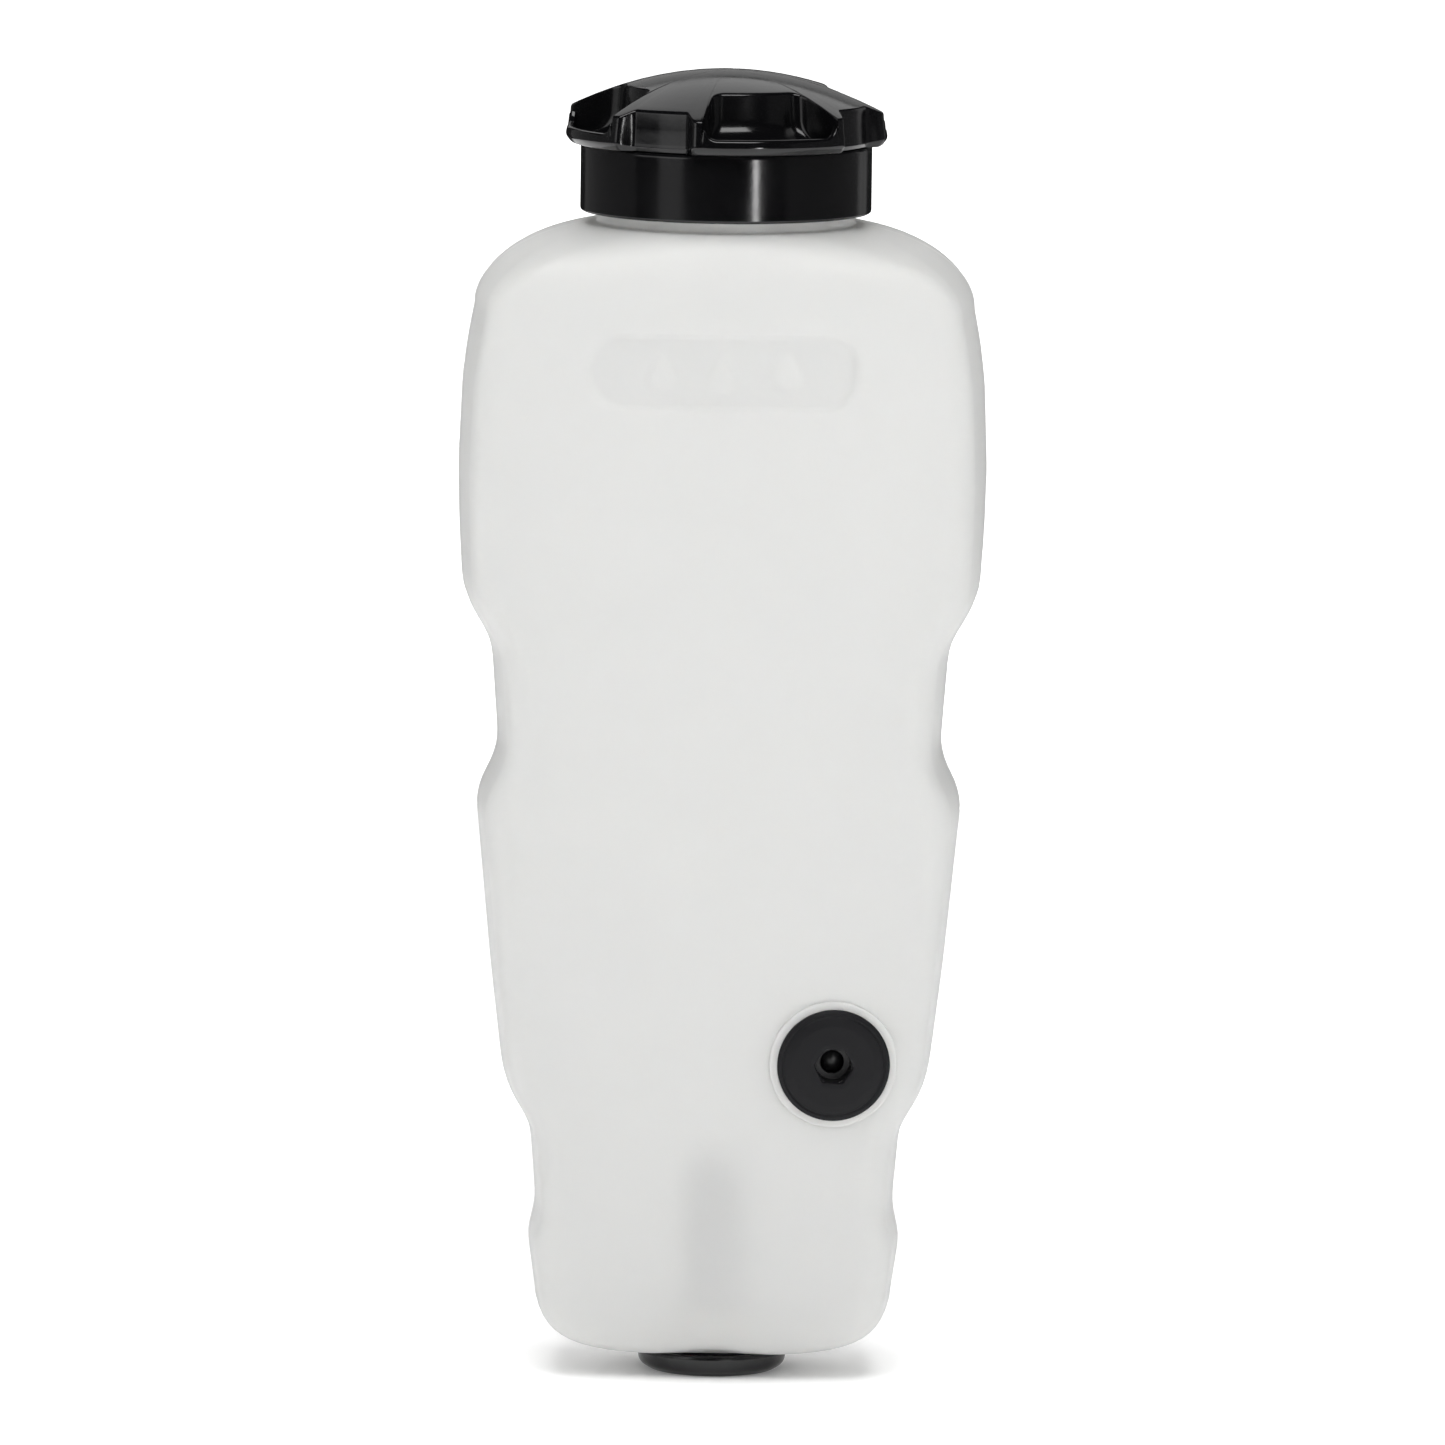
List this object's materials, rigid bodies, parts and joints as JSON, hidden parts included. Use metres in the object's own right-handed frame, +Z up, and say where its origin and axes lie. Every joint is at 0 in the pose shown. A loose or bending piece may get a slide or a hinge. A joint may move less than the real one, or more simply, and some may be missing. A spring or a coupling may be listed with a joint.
{
  "type": "detergent dispenser bottle",
  "caption": "Tapered translucent bottle with a vented screw cap, a sprung foot valve in its base and a sealed ball port low on the front.",
  "frame": {"origin": "centre of the underside of the foot, on the cap's and foot valve's common axis", "axes": "+Z up through the cap, +X towards the side that has the ball port, front face with the port towards -Y"},
  "size_m": [0.1094, 0.068, 0.272],
  "materials": {
    "hdpe_natural": "natural blow-moulded HDPE, translucent, satin",
    "pp_black_gloss": "black injection-moulded PP, gloss",
    "pp_black_satin": "black moulded PP, satin",
    "epdm_black": "moulded EPDM rubber, satin",
    "pe_foam_liner": "closed-cell PE foam, matte",
    "silicone_clear": "translucent silicone, satin",
    "nylon_natural": "natural moulded nylon, satin",
    "stainless_wire": "drawn stainless steel wire"
  },
  "bodies": {
    "bottle": {"bottle_body": "hdpe_natural", "foot_boot": "epdm_black", "foot_valve_body": "pp_black_satin", "foot_gasket": "epdm_black", "foot_washer": "nylon_natural", "foot_lock_nut": "nylon_natural", "foot_spring": "stainless_wire", "foot_spring_cap": "pp_black_satin", "side_grommet": "epdm_black", "side_valve_housing": "pp_black_satin", "side_valve_seal": "epdm_black", "side_valve_spring": "stainless_wire", "side_valve_retainer": "nylon_natural"},
    "cap_liner": {"cap_gasket": "pe_foam_liner"},
    "cap": {"cap_closure": "pp_black_gloss", "cap_grip_cover": "pp_black_gloss", "vent_retainer": "nylon_natural"},
    "vent_check": {"vent_disc": "silicone_clear"},
    "plunger": {"foot_plunger": "nylon_natural", "foot_plunger_seal": "epdm_black"},
    "ball": {"side_valve_ball": "pp_black_satin"}
  },
  "joints": [
    {"name": "cap_rise", "type": "slide", "parent": "bottle", "child": "cap_liner", "axis": [0, 0, 1], "range_m": [0, 0.0211]},
    {"name": "cap_turn", "type": "hinge", "parent": "cap_liner", "child": "cap", "pos_m": [0, 0, 0.255], "axis": [0, 0, 1], "range_deg": [0, 900]},
    {"name": "vent_lift", "type": "slide", "parent": "cap", "child": "vent_check", "axis": [0, 0, 1], "range_m": [0, 0.0009]},
    {"name": "plunger_push", "type": "slide", "parent": "bottle", "child": "plunger", "axis": [0, 0, 1], "range_m": [0, 0.0035], "stiffness_N_per_m": 400, "springref_m": -0.008, "deforming": ["foot_spring"]},
    {"name": "ball_push", "type": "slide", "parent": "bottle", "child": "ball", "axis": [-0.0759, 0.995, 0.0647], "range_m": [0, 0.0025], "stiffness_N_per_m": 200, "springref_m": -0.004, "deforming": ["side_valve_spring"]}
  ],
  "couplings": [
    {"joint": "cap_rise", "follows": "cap_turn", "m_per_rad": 0.0013369}
  ]
}
